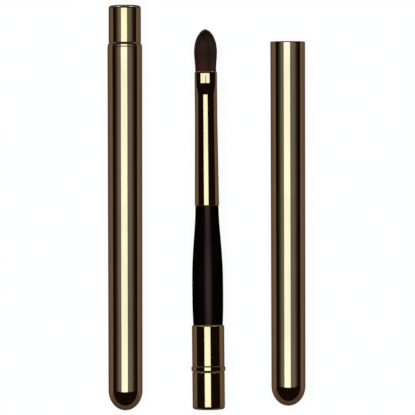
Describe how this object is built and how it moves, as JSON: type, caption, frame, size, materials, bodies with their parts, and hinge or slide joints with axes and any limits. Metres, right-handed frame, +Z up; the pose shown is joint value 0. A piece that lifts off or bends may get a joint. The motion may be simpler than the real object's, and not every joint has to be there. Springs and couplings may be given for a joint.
{
  "type": "lip brush",
  "caption": "Travel lip brush with an oval pointed tuft, black handle and gold collar that slides into a domed case, shown put away and taken out.",
  "frame": {"origin": "on the table, under the middle of the three laid-out pieces' box", "axes": "+Y along the pieces, towards the brush's hair and the empty case's mouth; +Z up from the table; +X to the right as seen from above"},
  "size_m": [0.0512, 0.105, 0.009],
  "materials": {
    "gold_metal": "polished, dark gold",
    "black_lacquer": "gloss black lacquer on wood",
    "black_plastic": "moulded, matt",
    "hair": "dark brown natural hair",
    "glue": "set clear amber glue"
  },
  "bodies": {
    "closed_case": {"closed_case_tube": "gold_metal"},
    "closed_brush": {"closed_hair_tuft": "hair", "closed_root_plug": "glue", "closed_ferrule": "gold_metal", "closed_handle": "black_lacquer", "closed_collar_core": "black_plastic", "closed_upper_sleeve": "gold_metal", "closed_stop_ring": "gold_metal", "closed_end_cup": "gold_metal"},
    "open_brush": {"open_hair_tuft": "hair", "open_root_plug": "glue", "open_ferrule": "gold_metal", "open_handle": "black_lacquer", "open_collar_core": "black_plastic", "open_upper_sleeve": "gold_metal", "open_stop_ring": "gold_metal", "open_end_cup": "gold_metal"},
    "open_case": {"open_case_tube": "gold_metal"}
  },
  "joints": [
    {"name": "closed_brush_slide", "type": "slide", "parent": "closed_case", "child": "closed_brush", "axis": [0, 1, 0], "range_m": [0, 0.1]},
    {"name": "open_brush_lift", "type": "slide", "parent": "closed_case", "child": "open_brush", "axis": [0, 0, 1], "range_m": [0, 0.06]},
    {"name": "open_case_lift", "type": "slide", "parent": "closed_case", "child": "open_case", "axis": [0, 0, 1], "range_m": [0, 0.06]}
  ]
}
